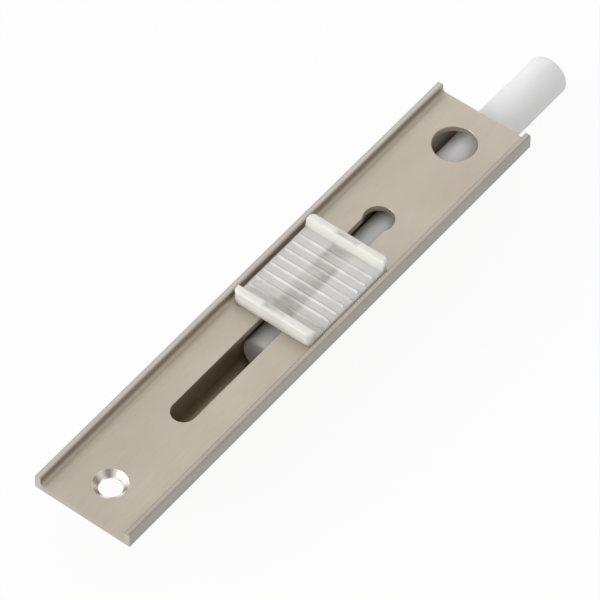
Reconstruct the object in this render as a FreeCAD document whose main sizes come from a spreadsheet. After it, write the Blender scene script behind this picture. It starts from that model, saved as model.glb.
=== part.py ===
import FreeCAD, Part
import math
import os
import Sketcher

# Flush door bolt: a lipped aluminium face plate with a guide channel behind it. A round plastic bolt
# slides in the channel, driven by a clear thumb slide whose neck reaches down through a keyhole slot.
# X runs along the plate towards the bolt's tip, Y across it, and Z out of its face. The origin is the
# axis of the near fixing hole, on the plate's back.

SIZES = {
    # Face plate
    "plate_length": 110.0,
    "plate_width": 20.3,
    "plate_thick": 1.4,
    "lip_height": 1.75,
    "lip_thick": 1.2,
    "lip_round": 0.35,
    "lip_outer_round": 0.4,
    "lip_root_round": 0.6,
    "edge_break": 0.15,
    "foot_relief": 0.2,
    # Fixing holes, both for the same countersunk screw
    "screw_inset": 7.4,
    "screw_hole_dia": 4.3,
    "screw_sink_dia": 6.2,
    "screw_sink_angle": 90.0,
    # Keyhole slot and the hole that gives access to the far fixing screw
    "slot_start": 17.0,
    "slot_width": 4.6,
    "slot_length": 53.3,
    "keyhole_dia": 5.6,
    "access_inset": 8.5,
    "access_dia": 8.0,
    # Guide channel
    "channel_wall": 0.8,
    "channel_floor": 1.6,
    "channel_round": 2.6,
    "channel_seat": 0.5,
    "channel_inset": 16.9,
    # Bolt rod
    "rod_dia": 8.0,
    "rod_length": 82.6,
    "rod_tail": 14.0,
    "rod_side_gap": 0.15,
    "rod_floor_gap": 0.2,
    "tip_round": 1.1,
    "tail_chamfer": 0.4,
    # Thumb slide
    "slide_at": 53.8,
    "slide_length": 22.0,
    "slide_side_gap": 0.6,
    "slide_gap": 0.1,
    "slide_floor": 1.15,
    "grip_rise": 2.0,
    "slide_corner": 1.0,
    "slide_edge": 0.35,
    "slide_side_edge": 0.2,
    "grip_top": 1.6,
    "grip_slope": 0.45,
    "rib_pitch": 1.98,
    "rib_count": 8,
    "rib_width": 0.7,
    "rib_height": 0.35,
    "rib_round": 0.15,
    "rib_inset": 0.5,
    # Neck, foot and peg under the thumb slide
    "neck_length": 5.7,
    "neck_side_gap": 0.2,
    "foot_pass_gap": 0.15,
    "foot_thick": 1.0,
    "foot_gap": 0.15,
    "peg_dia": 3.6,
    "peg_length": 4.2,
    "peg_gap": 0.05,
    "peg_end_gap": 0.3,
    # Friction spring
    "spring_from_tail": 25.0,
    "spring_length": 14.0,
    "spring_width": 4.0,
    "spring_thick": 0.3,
    "spring_foot": 2.0,
    "spring_crown": 2.6,
    "spring_bend": 0.6,
    "spring_floor_gap": 0.05,
    "spring_end_gap": 0.3,
    "spring_pocket": 0.9,
}

# How close two lengths in millimetres count as the same
SAME_LENGTH = 1e-4


class Size:
    """A length with its number and the spreadsheet formula that gives it."""

    def __init__(self, number, formula):
        self.number = number
        self.formula = formula

    def joined(self, other, sign, number):
        formula = other.formula if isinstance(other, Size) else repr(float(other))
        return Size(number, "(%s %s %s)" % (self.formula, sign, formula))

    def __add__(self, other):
        return self.joined(other, "+", self.number + number_of(other))

    def __sub__(self, other):
        return self.joined(other, "-", self.number - number_of(other))

    def __mul__(self, other):
        return self.joined(other, "*", self.number * number_of(other))

    def __truediv__(self, other):
        return self.joined(other, "/", self.number / number_of(other))

    def __neg__(self):
        return self * -1.0


def number_of(size):
    return size.number if isinstance(size, Size) else float(size)


def make_sheet(document):
    """Write every driving size into the spreadsheet and return them by name."""
    sheet = document.addObject("Spreadsheet::Sheet", "Dims")
    named = {}
    for row, (alias, value) in enumerate(SIZES.items(), start=1):
        cell = "B%d" % row
        sheet.set("A%d" % row, alias)
        sheet.set(cell, str(value))
        sheet.setAlias(cell, alias)
        named[alias] = Size(float(value), "Dims." + alias)
    document.recompute()
    return named


def bind(thing, name, size):
    thing.setExpression(name, size.formula)


def new_body(label, place):
    """Start a body whose own origin stands at place, a point of three sizes."""
    body = doc.addObject("PartDesign::Body", label)
    body.Label = label
    body.Placement = FreeCAD.Placement(
        FreeCAD.Vector(*[number_of(size) for size in place]), FreeCAD.Rotation()
    )
    for axis, size in zip("xyz", place):
        if isinstance(size, Size):
            bind(body, "Placement.Base." + axis, size)
    return body


def new_sketch(body, name, role, offset=None):
    """Put a sketch on one of the body's origin planes, moved along its normal by offset."""
    sketch = body.newObject("Sketcher::SketchObject", name)
    plane = [feature for feature in body.Origin.OriginFeatures if feature.Role == role][0]
    sketch.AttachmentSupport = [(plane, "")]
    sketch.MapMode = "FlatFace"
    if offset is not None:
        sketch.AttachmentOffset = FreeCAD.Placement(
            FreeCAD.Vector(0, 0, offset.number), FreeCAD.Rotation()
        )
        bind(sketch, "AttachmentOffset.Base.z", offset)
    return sketch


def hold(sketch, kind, *ends_and_size):
    """Add a constraint whose value follows a size."""
    ends = ends_and_size[:-1]
    size = ends_and_size[-1]
    index = sketch.addConstraint(Sketcher.Constraint(kind, *ends, number_of(size)))
    if isinstance(size, Size):
        bind(sketch, "Constraints[%d]" % index, size)


def hold_point(sketch, curve, end, across, up):
    """Tie one point of a curve to the sketch's origin by its two distances."""
    hold(sketch, "DistanceX", -1, 1, curve, end, across)
    hold(sketch, "DistanceY", -1, 1, curve, end, up)


def vector(across, up):
    return FreeCAD.Vector(number_of(across), number_of(up), 0)


def draw_outline(sketch, corners):
    """Draw a closed outline of straight lines through the corners."""
    count = len(corners)
    lines = []
    for index, corner in enumerate(corners):
        following = corners[(index + 1) % count]
        lines.append(sketch.addGeometry(Part.LineSegment(vector(*corner), vector(*following)), False))
    for index, line in enumerate(lines):
        sketch.addConstraint(Sketcher.Constraint("Coincident", line, 2, lines[(index + 1) % count], 1))
    for line, corner in zip(lines, corners):
        hold_point(sketch, line, 1, *corner)


def draw_circle(sketch, across, up, diameter):
    circle = Part.Circle(vector(across, up), FreeCAD.Vector(0, 0, 1), diameter.number / 2)
    curve = sketch.addGeometry(circle, False)
    hold_point(sketch, curve, 3, across, up)
    hold(sketch, "Diameter", curve, diameter)


def draw_obround(sketch, first, last, width):
    """Draw a round-ended slot along the sketch's X axis between two arc centres."""
    radius = width.number / 2
    normal = FreeCAD.Vector(0, 0, 1)
    quarter = math.pi / 2
    left = Part.ArcOfCircle(Part.Circle(vector(first, 0), normal, radius), quarter, 3 * quarter)
    right = Part.ArcOfCircle(Part.Circle(vector(last, 0), normal, radius), -quarter, quarter)
    upper = Part.LineSegment(vector(last.number, radius), vector(first.number, radius))
    lower = Part.LineSegment(vector(first.number, -radius), vector(last.number, -radius))
    left_arc, lower_line, right_arc, upper_line = [
        sketch.addGeometry(curve, False) for curve in (left, lower, right, upper)
    ]
    ring = (left_arc, lower_line, right_arc, upper_line)
    for index, curve in enumerate(ring):
        following = ring[(index + 1) % len(ring)]
        sketch.addConstraint(Sketcher.Constraint("Tangent", curve, 2, following, 1))
    sketch.addConstraint(Sketcher.Constraint("Equal", left_arc, right_arc))
    hold_point(sketch, left_arc, 3, first, 0)
    hold_point(sketch, right_arc, 3, last, 0)
    hold(sketch, "Diameter", left_arc, width)


def pad(body, name, sketch, length, both_ways=False, reverse=False):
    feature = body.newObject("PartDesign::Pad", name)
    feature.Profile = sketch
    feature.Length = length.number
    bind(feature, "Length", length)
    feature.Midplane = both_ways
    feature.Reversed = reverse
    finish_feature(body, feature, 1)
    return feature


def pocket(body, name, sketch, depth=None, both_ways=False, reverse=False):
    """Cut to a depth, or through the whole body where no depth is given."""
    feature = body.newObject("PartDesign::Pocket", name)
    feature.Profile = sketch
    feature.Midplane = both_ways
    feature.Reversed = reverse
    if depth is None:
        feature.Type = "ThroughAll"
    else:
        feature.Length = depth.number
        bind(feature, "Length", depth)
    finish_feature(body, feature, -1)
    return feature


def screw_hole(body, name, sketch):
    """Drill a fixing hole with its countersink at the sketch."""
    doc.recompute()
    feature = body.newObject("PartDesign::Hole", name)
    feature.Profile = sketch
    feature.Threaded = False
    feature.DepthType = "ThroughAll"
    feature.HoleCutType = "Countersink"
    feature.Diameter = dims["screw_hole_dia"].number
    feature.HoleCutDiameter = dims["screw_sink_dia"].number
    feature.HoleCutCountersinkAngle = dims["screw_sink_angle"].number
    bind(feature, "Diameter", dims["screw_hole_dia"])
    bind(feature, "HoleCutDiameter", dims["screw_sink_dia"])
    bind(feature, "HoleCutCountersinkAngle", dims["screw_sink_angle"])
    finish_feature(body, feature, -1)
    return feature


def finish_feature(body, feature, change):
    """Recompute and see that the feature added material (1) or took some away (-1)."""
    before = volumes.get(body.Name, 0.0)
    doc.recompute()
    after = feature.Shape.Volume
    if (after - before) * change <= 0:
        raise RuntimeError("%s of %s changed nothing" % (feature.Name, body.Label))
    volumes[body.Name] = after


def round_edges(body, name, radius, wanted, kind="PartDesign::Fillet"):
    """Round, or chamfer, those edges of the body's tip that wanted picks by their middle point."""
    base = body.Tip
    names = []
    for number, edge in enumerate(base.Shape.Edges, start=1):
        middle = edge.valueAt((edge.FirstParameter + edge.LastParameter) / 2)
        if wanted(edge, middle):
            names.append("Edge%d" % number)
    if not names:
        raise RuntimeError("%s of %s found no edge" % (name, body.Label))
    feature = body.newObject(kind, name)
    feature.Base = (base, names)
    if kind == "PartDesign::Fillet":
        feature.Radius = radius.number
        bind(feature, "Radius", radius)
    else:
        feature.Size = radius.number
        bind(feature, "Size", radius)
    doc.recompute()
    volumes[body.Name] = feature.Shape.Volume
    return feature


def near(value, target):
    return abs(value - number_of(target)) < SAME_LENGTH


def runs_along(edge, axis):
    """Say whether an edge is a straight line along X (0), Y (1) or Z (2)."""
    if edge.Curve.TypeId != "Part::GeomLine":
        return False
    tangent = edge.tangentAt(edge.FirstParameter)
    return all(near(tangent[other], 0) for other in range(3) if other != axis)


doc = FreeCAD.newDocument("FlushDoorBolt")
dims = make_sheet(doc)
volumes = {}

# Places that more than one piece takes from the sizes
half_width = dims["plate_width"] / 2
lip_inside = half_width - dims["lip_thick"]
face_edge = lip_inside - dims["lip_root_round"]
lip_top = dims["plate_thick"] + dims["lip_height"]
near_end = -dims["screw_inset"]
far_end = dims["plate_length"] - dims["screw_inset"]
access_at = far_end - dims["access_inset"]
slot_first = dims["slot_start"] + dims["slot_width"] / 2
keyhole_at = slot_first + dims["slot_length"]
rod_radius = dims["rod_dia"] / 2
foot_top = dims["foot_relief"] - dims["foot_gap"]
rod_axis = foot_top - dims["foot_thick"] - dims["foot_gap"] - rod_radius
rod_back = dims["slide_at"] - dims["rod_tail"]
channel_inside = rod_radius + dims["rod_side_gap"]
channel_outside = channel_inside + dims["channel_wall"]
channel_floor_top = rod_axis - rod_radius - dims["rod_floor_gap"]
channel_bottom = channel_floor_top - dims["channel_floor"]
channel_start = near_end + dims["channel_inset"]
channel_length = far_end - channel_start


def make_face_plate():
    """Extruded plate with a raised lip along each long edge, and its holes milled through."""
    body = new_body("face_plate", (0, 0, 0))
    section = new_sketch(body, "PlateSection", "YZ_Plane", near_end)
    draw_outline(
        section,
        [
            (-half_width, 0),
            (half_width, 0),
            (half_width, lip_top),
            (lip_inside, lip_top),
            (lip_inside, dims["plate_thick"]),
            (-lip_inside, dims["plate_thick"]),
            (-lip_inside, lip_top),
            (-half_width, lip_top),
        ],
    )
    pad(body, "PlateExtrusion", section, dims["plate_length"])

    def is_inner_lip_edge(edge, middle):
        return runs_along(edge, 0) and near(middle.z, lip_top) and near(abs(middle.y), lip_inside)

    round_edges(body, "InnerLipEdges", dims["lip_round"], is_inner_lip_edge)

    def is_outer_lip_edge(edge, middle):
        return runs_along(edge, 0) and near(middle.z, lip_top) and near(abs(middle.y), half_width)

    round_edges(body, "OuterLipEdges", dims["lip_outer_round"], is_outer_lip_edge)

    def is_back_edge(edge, middle):
        return runs_along(edge, 0) and near(middle.z, 0) and near(abs(middle.y), half_width)

    round_edges(body, "BackEdges", dims["edge_break"], is_back_edge)

    def is_lip_root(edge, middle):
        return runs_along(edge, 0) and near(middle.z, dims["plate_thick"])

    round_edges(body, "LipRoots", dims["lip_root_round"], is_lip_root)

    slot = new_sketch(body, "SlotSketch", "XY_Plane")
    draw_obround(slot, slot_first, keyhole_at, dims["slot_width"])
    pocket(body, "Slot", slot, reverse=True)

    keyhole = new_sketch(body, "KeyholeSketch", "XY_Plane")
    draw_circle(keyhole, keyhole_at, 0, dims["keyhole_dia"])
    pocket(body, "Keyhole", keyhole, reverse=True)

    access = new_sketch(body, "AccessSketch", "XY_Plane")
    draw_circle(access, access_at, 0, dims["access_dia"])
    pocket(body, "AccessHole", access, reverse=True)

    def is_milled_edge(edge, middle):
        on_face = near(middle.z, dims["plate_thick"])
        between_ends = near_end.number < middle.x < far_end.number
        return on_face and between_ends and not near(abs(middle.y), face_edge)

    round_edges(body, "MilledEdges", dims["edge_break"], is_milled_edge)

    screw = new_sketch(body, "ScrewSketch", "XY_Plane", dims["plate_thick"])
    draw_circle(screw, 0, 0, dims["screw_hole_dia"])
    screw_hole(body, "NearScrewHole", screw)

    relief = new_sketch(body, "ReliefSketch", "XY_Plane")
    draw_outline(
        relief,
        [
            (channel_start, -channel_outside),
            (far_end, -channel_outside),
            (far_end, channel_outside),
            (channel_start, channel_outside),
        ],
    )
    pocket(body, "FootRelief", relief, dims["foot_relief"], reverse=True)

    seats = new_sketch(body, "SeatSketch", "XY_Plane")
    for side in (-1, 1):
        draw_outline(
            seats,
            [
                (channel_start, channel_inside * side),
                (far_end, channel_inside * side),
                (far_end, channel_outside * side),
                (channel_start, channel_outside * side),
            ],
        )
    pocket(body, "ChannelSeats", seats, dims["channel_seat"], reverse=True)
    return body


def make_guide_channel():
    """U channel that carries the rod, its two edges let into the seats in the plate's back."""
    body = new_body("guide_channel", (channel_start, 0, 0))
    section = new_sketch(body, "ChannelSection", "YZ_Plane")
    draw_outline(
        section,
        [
            (-channel_outside, dims["channel_seat"]),
            (-channel_outside, channel_bottom),
            (channel_outside, channel_bottom),
            (channel_outside, dims["channel_seat"]),
            (channel_inside, dims["channel_seat"]),
            (channel_inside, channel_floor_top),
            (-channel_inside, channel_floor_top),
            (-channel_inside, dims["channel_seat"]),
        ],
    )
    pad(body, "ChannelExtrusion", section, channel_length)

    def is_outer_corner(edge, middle):
        return runs_along(edge, 0) and near(middle.z, channel_bottom)

    round_edges(body, "OuterCorners", dims["channel_round"], is_outer_corner)

    def is_inner_corner(edge, middle):
        return runs_along(edge, 0) and near(middle.z, channel_floor_top)

    round_edges(body, "InnerCorners", dims["channel_round"] - dims["channel_wall"], is_inner_corner)

    screw = new_sketch(body, "ScrewSketch", "XY_Plane", channel_floor_top)
    draw_circle(screw, access_at - channel_start, 0, dims["screw_hole_dia"])
    screw_hole(body, "FarScrewHole", screw)
    return body


def make_bolt_rod():
    """Turned plastic rod with a rounded tip, a cross hole for the peg and a flat for the spring."""
    body = new_body("bolt_rod", (rod_back, 0, rod_axis))
    section = new_sketch(body, "RodSection", "YZ_Plane")
    draw_circle(section, 0, 0, dims["rod_dia"])
    pad(body, "RodBar", section, dims["rod_length"])

    def is_tip_edge(edge, middle):
        return near(middle.x, dims["rod_length"])

    round_edges(body, "TipRound", dims["tip_round"], is_tip_edge)

    def is_tail_edge(edge, middle):
        return near(middle.x, 0)

    round_edges(body, "TailChamfer", dims["tail_chamfer"], is_tail_edge, "PartDesign::Chamfer")

    peg_hole = new_sketch(body, "PegHoleSketch", "XY_Plane", rod_radius)
    draw_circle(peg_hole, dims["rod_tail"], 0, dims["peg_dia"] + dims["peg_gap"] * 2)
    peg_hole_depth = dims["peg_length"] - dims["foot_gap"] + dims["peg_end_gap"]
    pocket(body, "PegHole", peg_hole, peg_hole_depth)

    flat = new_sketch(body, "SpringFlatSketch", "XZ_Plane")
    flat_half = dims["spring_length"] / 2 + dims["spring_end_gap"]
    flat_top = dims["spring_pocket"] - rod_radius
    draw_outline(
        flat,
        [
            (dims["spring_from_tail"] - flat_half, -dims["rod_dia"]),
            (dims["spring_from_tail"] + flat_half, -dims["rod_dia"]),
            (dims["spring_from_tail"] + flat_half, flat_top),
            (dims["spring_from_tail"] - flat_half, flat_top),
        ],
    )
    pocket(body, "SpringFlat", flat, dims["rod_dia"], both_ways=True)
    return body


def make_thumb_slide():
    """Clear moulding: a grip with raised ends and cross ribs, and the neck, foot and peg below it."""
    body = new_body("thumb_slide", (dims["slide_at"], 0, dims["plate_thick"]))
    half_length = dims["slide_length"] / 2
    width = (lip_inside - dims["slide_side_gap"]) * 2
    grip_top = dims["slide_floor"] + dims["grip_rise"]
    crest = half_length - dims["grip_top"]
    valley = crest - dims["grip_slope"]
    side = new_sketch(body, "GripSide", "XZ_Plane")
    draw_outline(
        side,
        [
            (-half_length, dims["slide_gap"]),
            (half_length, dims["slide_gap"]),
            (half_length, grip_top),
            (crest, grip_top),
            (valley, dims["slide_floor"]),
            (-valley, dims["slide_floor"]),
            (-crest, grip_top),
            (-half_length, grip_top),
        ],
    )
    pad(body, "GripBlock", side, width, both_ways=True)

    def is_upright(edge, middle):
        return runs_along(edge, 2)

    round_edges(body, "GripCorners", dims["slide_corner"], is_upright)

    def is_top_edge(edge, middle):
        return near(middle.z, grip_top)

    round_edges(body, "GripEdges", dims["slide_edge"], is_top_edge)

    def is_floor_side(edge, middle):
        return runs_along(edge, 0) and near(middle.z, dims["slide_floor"])

    round_edges(body, "FloorSides", dims["slide_side_edge"], is_floor_side)

    # One cross rib, repeated along the grip's floor
    rib_span = dims["rib_pitch"] * (SIZES["rib_count"] - 1)
    first_rib = -rib_span / 2
    rib = new_sketch(body, "RibSketch", "XZ_Plane")
    draw_outline(
        rib,
        [
            (first_rib - dims["rib_width"] / 2, dims["slide_floor"]),
            (first_rib + dims["rib_width"] / 2, dims["slide_floor"]),
            (first_rib, dims["slide_floor"] + dims["rib_height"]),
        ],
    )
    one_rib = pad(body, "Rib", rib, width - dims["rib_inset"] * 2, both_ways=True)
    ribs = body.newObject("PartDesign::LinearPattern", "Ribs")
    ribs.Originals = [one_rib]
    ribs.Direction = (rib, ["H_Axis"])
    ribs.Length = rib_span.number
    bind(ribs, "Length", rib_span)
    ribs.Occurrences = SIZES["rib_count"]
    body.Tip = ribs
    finish_feature(body, ribs, 1)

    def is_crest(edge, middle):
        return runs_along(edge, 1) and near(middle.z, dims["slide_floor"] + dims["rib_height"])

    round_edges(body, "RibCrests", dims["rib_round"], is_crest)

    neck_end = foot_top - dims["plate_thick"]
    neck_width = dims["slot_width"] - dims["neck_side_gap"] * 2
    neck_centre = (dims["neck_length"] - neck_width) / 2
    neck = new_sketch(body, "NeckSketch", "XY_Plane", dims["slide_gap"])
    draw_obround(neck, -neck_centre, neck_centre, neck_width)
    pad(body, "Neck", neck, dims["slide_gap"] - neck_end, reverse=True)

    foot = new_sketch(body, "FootSketch", "XY_Plane", neck_end)
    draw_circle(foot, 0, 0, dims["keyhole_dia"] - dims["foot_pass_gap"] * 2)
    pad(body, "Foot", foot, dims["foot_thick"], reverse=True)

    peg = new_sketch(body, "PegSketch", "XY_Plane", neck_end - dims["foot_thick"])
    draw_circle(peg, 0, 0, dims["peg_dia"])
    pad(body, "Peg", peg, dims["peg_length"], reverse=True)
    return body


def make_friction_spring():
    """Bowed steel leaf between the rod's flat and the channel floor."""
    ceiling = rod_axis - rod_radius + dims["spring_pocket"]
    body = new_body("friction_spring", (rod_back + dims["spring_from_tail"], 0, ceiling))
    half_length = dims["spring_length"] / 2
    foot_end = half_length - dims["spring_foot"]
    half_crown = dims["spring_crown"] / 2
    thick = dims["spring_thick"]
    crown_bottom = channel_floor_top + dims["spring_floor_gap"] - ceiling
    side = new_sketch(body, "LeafSide", "XZ_Plane")
    draw_outline(
        side,
        [
            (-half_length, 0),
            (-foot_end, 0),
            (-half_crown, crown_bottom + thick),
            (half_crown, crown_bottom + thick),
            (foot_end, 0),
            (half_length, 0),
            (half_length, -thick),
            (foot_end, -thick),
            (half_crown, crown_bottom),
            (-half_crown, crown_bottom),
            (-foot_end, -thick),
            (-half_length, -thick),
        ],
    )
    pad(body, "Leaf", side, dims["spring_width"], both_ways=True)

    def is_bend(edge, middle):
        return runs_along(edge, 1) and not near(abs(middle.x), half_length)

    round_edges(body, "Bends", dims["spring_bend"], is_bend)
    return body


pieces = [
    make_face_plate(),
    make_guide_channel(),
    make_bolt_rod(),
    make_thumb_slide(),
    make_friction_spring(),
]
doc.recompute()

for thing in doc.Objects:
    if "Invalid" in thing.State or "Error" in thing.State:
        raise RuntimeError("%s failed: %s" % (thing.Label, thing.State))
for piece in pieces:
    if piece.Shape.isNull() or not piece.Shape.isValid() or len(piece.Shape.Solids) != 1:
        raise RuntimeError("%s isn't one valid solid" % piece.Label)

os.makedirs("parts", exist_ok=True)
for piece in pieces:
    piece.Shape.exportStep("parts/%s.step" % piece.Label)
    box = piece.Shape.BoundBox
    print(
        "%s: volume %.1f, X %.2f to %.2f, Y %.2f to %.2f, Z %.2f to %.2f"
        % (piece.Label, piece.Shape.Volume, box.XMin, box.XMax, box.YMin, box.YMax, box.ZMin, box.ZMax)
    )
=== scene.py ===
import math

import bpy
from mathutils import Matrix, Vector


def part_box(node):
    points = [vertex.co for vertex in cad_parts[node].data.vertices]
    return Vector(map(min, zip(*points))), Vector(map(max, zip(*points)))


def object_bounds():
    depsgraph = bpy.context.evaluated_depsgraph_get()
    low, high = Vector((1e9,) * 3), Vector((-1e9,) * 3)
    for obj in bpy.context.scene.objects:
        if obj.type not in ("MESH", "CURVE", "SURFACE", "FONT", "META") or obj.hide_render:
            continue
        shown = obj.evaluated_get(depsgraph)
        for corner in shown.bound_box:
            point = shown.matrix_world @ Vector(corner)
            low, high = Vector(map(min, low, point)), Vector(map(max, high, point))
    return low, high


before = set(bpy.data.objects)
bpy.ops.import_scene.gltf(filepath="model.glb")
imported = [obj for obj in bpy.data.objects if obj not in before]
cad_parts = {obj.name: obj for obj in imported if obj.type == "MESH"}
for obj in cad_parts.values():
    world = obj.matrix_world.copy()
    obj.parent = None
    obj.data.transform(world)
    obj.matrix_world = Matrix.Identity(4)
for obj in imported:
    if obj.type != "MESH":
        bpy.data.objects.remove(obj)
cad_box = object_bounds()


# Face plate. An aluminium extrusion with a raised lip along both long edges, cut to length, milled
# for the slot and holes, etched to a satin and anodised in a pale champagne tone. The countersink is
# brighter bare metal with painted highlights and painted dark reflections as streaks, the lips look
# greyer than the face, and a painted shade darkens their outer sides and the right lip's crest.

MM = 0.001
PATTERN_MIDDLE = (0.3, 0.7)
PLATE_TONES = ((0.50, 0.441, 0.363), (0.55, 0.491, 0.409))
PLATE_LINES = (260.0, 5200.0, 5200.0)
PLATE_ROUGHNESS = (0.42, 0.52)
PLATE_METAL = 0.9
ANODISED_CLOUDS = (55.0, 70.0, 70.0)
ETCHED_GRAIN = (9000.0, 9000.0, 9000.0)
ETCHED_RELIEF = (0.25, 0.004 * MM)
LIP_REACH = 1.15 * MM
LIP_CLOUDS = (90.0, 300.0, 300.0)
LIP_TONES = ((0.525, 0.49, 0.435), (0.575, 0.54, 0.485))
# The next two give a painted shade on the lips' outer sides.
FLANK_REACH = 0.05 * MM
FLANK_SHADE_TONES = ((0.36, 0.345, 0.318), (0.395, 0.38, 0.352))
# The next two give a painted shade on the right lip's crest, the side away from the lamp.
CREST_REACH = 0.3 * MM
CREST_SHADE_TONES = ((0.44, 0.395, 0.34), (0.48, 0.435, 0.375))
# The countersink: brighter bare metal, with painted highlights and painted dark reflections as streaks.
COUNTERSINK_RADIUS = 3.12 * MM
COUNTERSINK_TONES_AND_REFLECTIONS = ((0.42, 0.37, 0.32), (0.97, 0.93, 0.86))
COUNTERSINK_ROUGHNESS = 0.36
COUNTERSINK_METAL = 1.0
STREAK_COUNT = 6
STREAK_TURN = math.radians(47)


def find_node(tree, kind):
    """Return a material's first node of a kind."""
    return next(node for node in tree.nodes if node.type == kind)


def start_material(name):
    """Make a node material and return it with its tree and its main shader."""
    material = bpy.data.materials.new(name)
    material.use_nodes = True
    tree = material.node_tree
    return material, tree, find_node(tree, "BSDF_PRINCIPLED")


def add_node(tree, kind, **settings):
    """Add a node, set its own properties, and fill the sockets that are named."""
    node = tree.nodes.new(kind)
    for name, value in settings.items():
        if hasattr(node, name):
            setattr(node, name, value)
        else:
            node.inputs[name].default_value = value
    return node


def feed(tree, term, socket):
    """Link one socket to another, or set a plain value on it."""
    if hasattr(term, "links"):
        tree.links.new(term, socket)
    else:
        socket.default_value = term


def combine(tree, operation, *terms):
    """Work out one number from sockets and plain numbers."""
    step = add_node(tree, "ShaderNodeMath", operation=operation)
    for term, socket in zip(terms, step.inputs):
        feed(tree, term, socket)
    return step.outputs[0]


def piece_axes(tree, middle=(0.0, 0.0, 0.0)):
    """Return a surface point's X, Y and Z in metres, counted from a middle."""
    place = add_node(tree, "ShaderNodeTexCoord")
    away = add_node(tree, "ShaderNodeVectorMath", operation="SUBTRACT")
    away.inputs[1].default_value = middle
    tree.links.new(place.outputs["Object"], away.inputs[0])
    axes = add_node(tree, "ShaderNodeSeparateXYZ")
    tree.links.new(away.outputs["Vector"], axes.inputs[0])
    return axes.outputs


def grain(tree, fineness, detail, unevenness=0.5):
    """Make an uneven pattern with a fineness of its own, per metre, for each of the piece's axes."""
    place = add_node(tree, "ShaderNodeTexCoord")
    stretch = add_node(tree, "ShaderNodeMapping", Scale=fineness)
    pattern = add_node(tree, "ShaderNodeTexNoise", Scale=1.0, Detail=detail, Roughness=unevenness)
    tree.links.new(place.outputs["Object"], stretch.inputs["Vector"])
    tree.links.new(stretch.outputs["Vector"], pattern.inputs["Vector"])
    return pattern.outputs["Fac"]


def spread(tree, pattern, low=0.0, high=1.0):
    """Map a pattern's middle range onto the values from low to high."""
    reach = add_node(tree, "ShaderNodeMapRange")
    reach.inputs["From Min"].default_value = PATTERN_MIDDLE[0]
    reach.inputs["From Max"].default_value = PATTERN_MIDDLE[1]
    reach.inputs["To Min"].default_value = low
    reach.inputs["To Max"].default_value = high
    tree.links.new(pattern, reach.inputs["Value"])
    return reach.outputs["Result"]


def blend_numbers(tree, factor, first, second):
    """Mix two numbers, each plain or from a socket, by a factor socket."""
    mix = add_node(tree, "ShaderNodeMix", data_type="FLOAT")
    for name, term in (("Factor", factor), ("A", first), ("B", second)):
        feed(tree, term, mix.inputs[name])
    return mix.outputs["Result"]


def blend_tones(tree, factor, first, second):
    """Mix two colours, each plain or from a socket, by a factor socket."""
    mix = add_node(tree, "ShaderNodeMix", data_type="RGBA")
    tree.links.new(factor, mix.inputs["Factor"])
    ends = [socket for socket in mix.inputs if socket.type == "RGBA"]
    for tone, socket in zip((first, second), ends):
        feed(tree, tone if hasattr(tone, "links") else (*tone, 1.0), socket)
    return next(socket for socket in mix.outputs if socket.type == "RGBA")


def vary_finish(tree, shader, clouds, tones, lines, roughness):
    """Let one pattern vary a finish's tone and another its sheen."""
    tree.links.new(blend_tones(tree, spread(tree, clouds), *tones), shader.inputs["Base Color"])
    tree.links.new(spread(tree, lines, *roughness), shader.inputs["Roughness"])


def add_relief(tree, shader, height, strength, depth):
    """Raise and sink the surface a little by a pattern."""
    relief = add_node(tree, "ShaderNodeBump", Strength=strength, Distance=depth)
    tree.links.new(height, relief.inputs["Height"])
    tree.links.new(relief.outputs["Normal"], shader.inputs["Normal"])


def satin_aluminium(name, tones, fineness, roughness, metal):
    """Etched and anodised extrusion: fine lines along X, a cloudy tone and a soft sheen."""
    material, tree, shader = start_material(name)
    shader.inputs["Metallic"].default_value = metal
    lines = grain(tree, fineness, detail=4.0, unevenness=0.6)
    clouds = grain(tree, ANODISED_CLOUDS, detail=2.0)
    vary_finish(tree, shader, clouds, tones, lines, roughness)
    etch = grain(tree, ETCHED_GRAIN, detail=2.0)
    add_relief(tree, shader, combine(tree, "ADD", lines, etch), *ETCHED_RELIEF)
    return material


def dress(piece, material):
    """Give a piece its finish in place of what it came with."""
    piece.data.materials.clear()
    piece.data.materials.append(material)


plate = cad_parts["face_plate"]
plate_low, plate_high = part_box("face_plate")
plate_satin = satin_aluminium(
    "champagne anodised plate", PLATE_TONES, PLATE_LINES, PLATE_ROUGHNESS, PLATE_METAL
)
plate_tree = plate_satin.node_tree
plate_shader = find_node(plate_tree, "BSDF_PRINCIPLED")
plate_x, plate_y, plate_z = piece_axes(plate_tree)
plate_tone_and_painted_light = plate_shader.inputs["Base Color"].links[0].from_socket
plate_sheen = plate_shader.inputs["Roughness"].links[0].from_socket

# The lips' own greyer tone, then a painted shade on their outer sides, then a painted shade on the
# right lip's crest, each over the one before. A reach is counted inwards from the plate's outermost
# place.
lip_clouds = spread(plate_tree, grain(plate_tree, LIP_CLOUDS, detail=2.0))
off_middle = combine(plate_tree, "ABSOLUTE", plate_y)
on_lips = combine(plate_tree, "GREATER_THAN", off_middle, plate_high.y - LIP_REACH)
on_shaded_flanks = combine(plate_tree, "GREATER_THAN", off_middle, plate_high.y - FLANK_REACH)
on_right_lip = combine(plate_tree, "LESS_THAN", plate_y, plate_low.y + LIP_REACH)
on_crests = combine(plate_tree, "GREATER_THAN", plate_z, plate_high.z - CREST_REACH)
on_shaded_right_crest = combine(plate_tree, "MULTIPLY", on_right_lip, on_crests)
for here, tones in ((on_lips, LIP_TONES), (on_shaded_flanks, FLANK_SHADE_TONES), (on_shaded_right_crest, CREST_SHADE_TONES)):
    here_tone_and_shade = blend_tones(plate_tree, lip_clouds, *tones)
    plate_tone_and_painted_light = blend_tones(plate_tree, here, plate_tone_and_painted_light, here_tone_and_shade)
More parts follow.
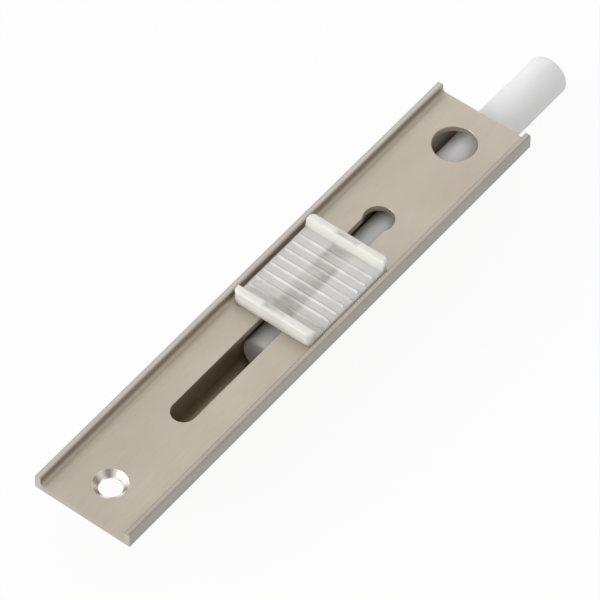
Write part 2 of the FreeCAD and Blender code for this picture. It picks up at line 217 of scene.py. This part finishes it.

# The countersink of the near fixing hole, whose axis is the plate's own Z, is brighter bare metal. Its
# streaks are painted highlights and painted dark reflections that fan out round that axis, and their
# share rises and falls between 0 and 1 as a cosine does.
across_squared = combine(plate_tree, "MULTIPLY", plate_y, plate_y)
radius_squared = combine(plate_tree, "MULTIPLY_ADD", plate_x, plate_x, across_squared)
in_sink = combine(plate_tree, "LESS_THAN", radius_squared, COUNTERSINK_RADIUS ** 2)
sink_angle = combine(plate_tree, "ARCTAN2", plate_y, plate_x)
sink_turn = combine(plate_tree, "SUBTRACT", sink_angle, STREAK_TURN)
sink_wave = combine(plate_tree, "COSINE", combine(plate_tree, "MULTIPLY", sink_turn, STREAK_COUNT))
sink_painted_reflections = combine(plate_tree, "MULTIPLY_ADD", sink_wave, -0.5, 0.5)
sink_tone_and_reflections = blend_tones(plate_tree, sink_painted_reflections, *COUNTERSINK_TONES_AND_REFLECTIONS)
plate_tone_and_painted_light = blend_tones(plate_tree, in_sink, plate_tone_and_painted_light, sink_tone_and_reflections)
plate_sheen = blend_numbers(plate_tree, in_sink, plate_sheen, COUNTERSINK_ROUGHNESS)
plate_metal = blend_numbers(plate_tree, in_sink, PLATE_METAL, COUNTERSINK_METAL)
plate_tree.links.new(plate_tone_and_painted_light, plate_shader.inputs["Base Color"])
plate_tree.links.new(plate_sheen, plate_shader.inputs["Roughness"])
plate_tree.links.new(plate_metal, plate_shader.inputs["Metallic"])
dress(plate, plate_satin)


# Guide channel. The aluminium trough behind the plate that the bolt slides in, extruded and anodised
# as the plate is, with coarser lines along its length and its edges set in the plate's back.

CHANNEL_TONES = ((0.44, 0.375, 0.285), (0.50, 0.43, 0.335))
CHANNEL_LINES = (120.0, 2600.0, 2600.0)
CHANNEL_ROUGHNESS = (0.36, 0.52)
CHANNEL_METAL = 0.8

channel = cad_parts["guide_channel"]
channel_satin = satin_aluminium(
    "champagne anodised channel", CHANNEL_TONES, CHANNEL_LINES, CHANNEL_ROUGHNESS, CHANNEL_METAL
)
dress(channel, channel_satin)


# Bolt rod. A turned bar of natural plastic, frosted and milky, with a rounded tip. Light gets
# a few millimetres into it, so it looks white in the open and dim inside the channel.

ROD_TONES = ((0.92, 0.92, 0.915), (0.96, 0.96, 0.96))
ROD_CLOUDS = (160.0, 420.0, 420.0)
ROD_TURNING = (2600.0, 500.0, 500.0)
ROD_ROUGHNESS = (0.38, 0.55)
ROD_RELIEF = (0.3, 0.01 * MM)
ROD_IOR = 1.5
ROD_DEPTH = 4.0 * MM
ROD_TINT = (1.0, 1.0, 1.0)
ROD_CLEARNESS = 0.2


def let_light_in(shader, ior, depth, tint):
    """Make a plastic milky: light goes about as deep as depth, by the tint's share for each colour."""
    shader.inputs["IOR"].default_value = ior
    shader.inputs["Subsurface Weight"].default_value = 1.0
    shader.inputs["Subsurface Radius"].default_value = tint
    shader.inputs["Subsurface Scale"].default_value = depth


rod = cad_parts["bolt_rod"]
rod_frost, rod_tree, rod_shader = start_material("frosted natural plastic")
rod_clouds = grain(rod_tree, ROD_CLOUDS, detail=3.0, unevenness=0.55)
rod_turning = grain(rod_tree, ROD_TURNING, detail=3.0, unevenness=0.6)
vary_finish(rod_tree, rod_shader, rod_clouds, ROD_TONES, rod_turning, ROD_ROUGHNESS)
add_relief(rod_tree, rod_shader, rod_turning, *ROD_RELIEF)
let_light_in(rod_shader, ROD_IOR, ROD_DEPTH, ROD_TINT)
rod_shader.inputs["Transmission Weight"].default_value = ROD_CLEARNESS
dress(rod, rod_frost)


# Thumb slide. One clear plastic moulding, slightly hazy, with a raised bar at each end and fine, uneven
# ribs across its floor for the thumb. A clearer band lies over the slot, along the floor and over the
# bars' tops, above the neck that reaches down to the rod.

SLIDE_TONES = ((0.96, 0.91, 0.80), (0.98, 0.94, 0.86))
SLIDE_CLOUDS = (300.0, 90.0, 300.0)
SLIDE_LINES = (5000.0, 300.0, 5000.0)
SLIDE_ROUGHNESS = (0.20, 0.25)
SLIDE_RELIEF = (0.1, 0.006 * MM)
SLIDE_IOR = 1.49
SLIDE_DEPTH = 3.0 * MM
SLIDE_TINT = (1.0, 1.0, 0.9)
SLIDE_HAZE = 0.2
BAND_CLEARNESS = (0.30, 0.62)
BAND_PATCHES = (280.0, 220.0, 0.0)
BAND_INNER = 1.8 * MM
BAND_OUTER = 2.7 * MM
BAR_SLOPE = 9.2 * MM
BAR_SLOPE_MARGIN = 0.3 * MM
BAR_SLOPE_FALL = 2.0
BAR_FRONT = 11.0 * MM
GRIP_RISE = 2.0 * MM
RIB_START = 0.02 * MM
RIB_REACH = 8.0 * MM
RIB_LEAN = 0.3
# The next three give the ribs' crests and near sides a patchy painted shade.
RIB_PATCHES = (450.0, 150.0, 0.0)
RIB_CONTRAST = (-0.6, 1.4)
RIB_SHADE_TONES = ((0.60, 0.58, 0.54), (0.90, 0.87, 0.81))

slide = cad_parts["thumb_slide"]
slide_low, slide_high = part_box("thumb_slide")
slide_middle = (slide_low + slide_high) / 2
slide_clear, slide_tree, slide_shader = start_material("hazy clear plastic")
slide_clouds = grain(slide_tree, SLIDE_CLOUDS, detail=3.0)
slide_lines = grain(slide_tree, SLIDE_LINES, detail=2.0)
vary_finish(slide_tree, slide_shader, slide_clouds, SLIDE_TONES, slide_lines, SLIDE_ROUGHNESS)
add_relief(slide_tree, slide_shader, slide_lines, *SLIDE_RELIEF)
let_light_in(slide_shader, SLIDE_IOR, SLIDE_DEPTH, SLIDE_TINT)
slide_x, slide_y, slide_z = piece_axes(slide_tree, slide_middle)
from_middle = combine(slide_tree, "ABSOLUTE", slide_x)

# The clearer band. It fades out towards its sides, and the bars' inner slopes and outer faces keep the
# haze.
off_slope = combine(slide_tree, "ABSOLUTE", combine(slide_tree, "SUBTRACT", from_middle, BAR_SLOPE))
on_slope = combine(slide_tree, "MULTIPLY_ADD", off_slope, -BAR_SLOPE_FALL, BAND_OUTER + BAR_SLOPE_MARGIN)
past_front = combine(slide_tree, "SUBTRACT", from_middle, BAR_FRONT - BAND_OUTER)
along_band = combine(slide_tree, "MAXIMUM", on_slope, past_front)
across_band = combine(slide_tree, "ABSOLUTE", slide_y)
band_haze = add_node(slide_tree, "ShaderNodeMapRange")
band_haze.inputs["From Min"].default_value = BAND_INNER
band_haze.inputs["From Max"].default_value = BAND_OUTER
band_haze.inputs["To Max"].default_value = SLIDE_HAZE
slide_tree.links.new(combine(slide_tree, "MAXIMUM", across_band, along_band), band_haze.inputs["Value"])
band_patches = spread(slide_tree, grain(slide_tree, BAND_PATCHES, detail=1.5), *BAND_CLEARNESS)
slide_tree.links.new(band_patches, band_haze.inputs["To Min"])
slide_tree.links.new(band_haze.outputs["Result"], slide_shader.inputs["Transmission Weight"])

# The ribs, with a patchy painted shade on their crests and near sides, darker than the slide's own tone
# where the lamp lights them. Their far sides keep the slide's own.
slide_facing = add_node(slide_tree, "ShaderNodeNewGeometry")
slide_lean = add_node(slide_tree, "ShaderNodeSeparateXYZ")
slide_tree.links.new(slide_facing.outputs["Normal"], slide_lean.inputs[0])
rib_foot = slide_high.z - slide_middle.z - GRIP_RISE + RIB_START
over_floor = combine(slide_tree, "GREATER_THAN", slide_z, rib_foot)
between_bars = combine(slide_tree, "LESS_THAN", from_middle, RIB_REACH)
near_side = combine(slide_tree, "LESS_THAN", slide_lean.outputs["X"], RIB_LEAN)
on_shaded_ribs = combine(slide_tree, "MULTIPLY", over_floor, between_bars)
on_shaded_ribs = combine(slide_tree, "MULTIPLY", on_shaded_ribs, near_side)
rib_shade_patches = spread(slide_tree, grain(slide_tree, RIB_PATCHES, detail=1.5), *RIB_CONTRAST)
rib_painted_shade = blend_tones(slide_tree, rib_shade_patches, *RIB_SHADE_TONES)
slide_tone_and_shade = slide_shader.inputs["Base Color"].links[0].from_socket
slide_tone_and_shade = blend_tones(slide_tree, on_shaded_ribs, slide_tone_and_shade, rib_painted_shade)
slide_tree.links.new(slide_tone_and_shade, slide_shader.inputs["Base Color"])
dress(slide, slide_clear)


# Friction spring. A bowed leaf of bright spring steel, cut from rolled strip, that sits in the flat
# under the rod and holds the bolt where it is put.

SPRING_TONES = ((0.42, 0.42, 0.43), (0.52, 0.52, 0.53))
SPRING_ROLLING = (300.0, 7000.0, 3000.0)
SPRING_ROUGHNESS = (0.22, 0.36)
SPRING_RELIEF = (0.2, 0.004 * MM)
SPRING_METAL = 1.0

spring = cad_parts["friction_spring"]
spring_steel, spring_tree, spring_shader = start_material("rolled spring steel")
spring_shader.inputs["Metallic"].default_value = SPRING_METAL
spring_rolling = grain(spring_tree, SPRING_ROLLING, detail=3.0)
vary_finish(spring_tree, spring_shader, spring_rolling, SPRING_TONES, spring_rolling, SPRING_ROUGHNESS)
add_relief(spring_tree, spring_shader, spring_rolling, *SPRING_RELIEF)
dress(spring, spring_steel)


# Floor. A plain pale sheet under the bolt, white to the camera, in reflections and through the clear
# plastic. A small share of it is lit as a real sheet is, which keeps the bolt's soft shadow.

FLOOR_SIZE = 4.0
FLOOR_DROP = 0.02 * MM
FLOOR_TONE = (0.86, 0.86, 0.85)
FLOOR_ROUGHNESS = 0.9
FLOOR_SHADOW_SHARE = 0.08
FLOOR_WHITE = 1.0

bpy.ops.object.select_all(action="DESELECT")
bpy.ops.mesh.primitive_plane_add(size=FLOOR_SIZE, location=(0, 0, cad_box[0].z - FLOOR_DROP))
floor = bpy.context.object
floor.name = "floor"
floor_pale, floor_tree, floor_shader = start_material("pale floor")
floor_shader.inputs["Base Color"].default_value = (*FLOOR_TONE, 1.0)
floor_shader.inputs["Roughness"].default_value = FLOOR_ROUGHNESS
floor_glow = add_node(floor_tree, "ShaderNodeEmission", Strength=FLOOR_WHITE)
floor_rays = add_node(floor_tree, "ShaderNodeLightPath").outputs
floor_seen = floor_rays["Is Camera Ray"]
for rays in ("Is Glossy Ray", "Is Transmission Ray"):
    floor_seen = combine(floor_tree, "MAXIMUM", floor_seen, floor_rays[rays])
floor_share = combine(floor_tree, "MULTIPLY", floor_seen, 1.0 - FLOOR_SHADOW_SHARE)
floor_mix = add_node(floor_tree, "ShaderNodeMixShader")
floor_end = find_node(floor_tree, "OUTPUT_MATERIAL")
floor_parts = (floor_share, floor_shader.outputs["BSDF"], floor_glow.outputs["Emission"])
for part, socket in zip(floor_parts, floor_mix.inputs):
    floor_tree.links.new(part, socket)
floor_tree.links.new(floor_mix.outputs[0], floor_end.inputs["Surface"])
dress(floor, floor_pale)


# Light. A pale studio all round, a weak panel beyond the bolt's far end and one low soft lamp at its
# near left, at a level at which a colour renders about as it is written.

STUDIO_LIGHT = 0.64
STUDIO_TONE = (1.0, 1.0, 1.0)
LAMP_TARGET = Vector((0.05, 0.0, 0.0))
LAMPS = {
    "back_panel": {"place": (0.40, 0.22, 0.42), "size": 0.5, "power": 0.5},
    "left_lamp": {"place": (-0.65, 0.6, 0.4), "size": 0.6, "power": 7.0},
}

world = bpy.data.worlds.new("studio")
bpy.context.scene.world = world
world.use_nodes = True
studio = world.node_tree.nodes["Background"]
studio.inputs["Color"].default_value = (*STUDIO_TONE, 1.0)
studio.inputs["Strength"].default_value = STUDIO_LIGHT

for name, settings in LAMPS.items():
    lamp_data = bpy.data.lights.new(name, "AREA")
    lamp_data.size = settings["size"]
    lamp_data.energy = settings["power"]
    lamp = bpy.data.objects.new(name, lamp_data)
    bpy.context.scene.collection.objects.link(lamp)
    lamp.location = settings["place"]
    lamp.rotation_euler = (lamp.location - LAMP_TARGET).to_track_quat("Z", "Y").to_euler()


# Camera. At the photograph's viewing angle, with its place and lens from a perspective fit of the
# plate's corners and holes.

CAMERA_LENS = 341.5
CAMERA_AIM = Vector((49.78, -0.74, 1.9)) * MM
CAMERA_DISTANCE = 967.7 * MM
CAMERA_AZIMUTH = math.radians(-51.52)
CAMERA_ELEVATION = math.radians(51.10)
CAMERA_ROLL = math.radians(-0.27)
CAMERA_NEAREST = 0.01
CAMERA_FARTHEST = 20.0

camera_back = Vector(
    (
        math.sin(CAMERA_AZIMUTH) * math.cos(CAMERA_ELEVATION),
        -math.cos(CAMERA_AZIMUTH) * math.cos(CAMERA_ELEVATION),
        math.sin(CAMERA_ELEVATION),
    )
)
camera_data = bpy.data.cameras.new("camera")
camera_data.lens = CAMERA_LENS
camera_data.clip_start = CAMERA_NEAREST
camera_data.clip_end = CAMERA_FARTHEST
camera = bpy.data.objects.new("camera", camera_data)
bpy.context.scene.collection.objects.link(camera)
camera.location = CAMERA_AIM + camera_back * CAMERA_DISTANCE
aim = (-camera_back).to_track_quat("-Z", "Y").to_matrix().to_4x4()
camera.rotation_euler = (aim @ Matrix.Rotation(CAMERA_ROLL, 4, "Z")).to_euler()
bpy.context.scene.camera = camera
bpy.context.scene.view_settings.view_transform = "Standard"
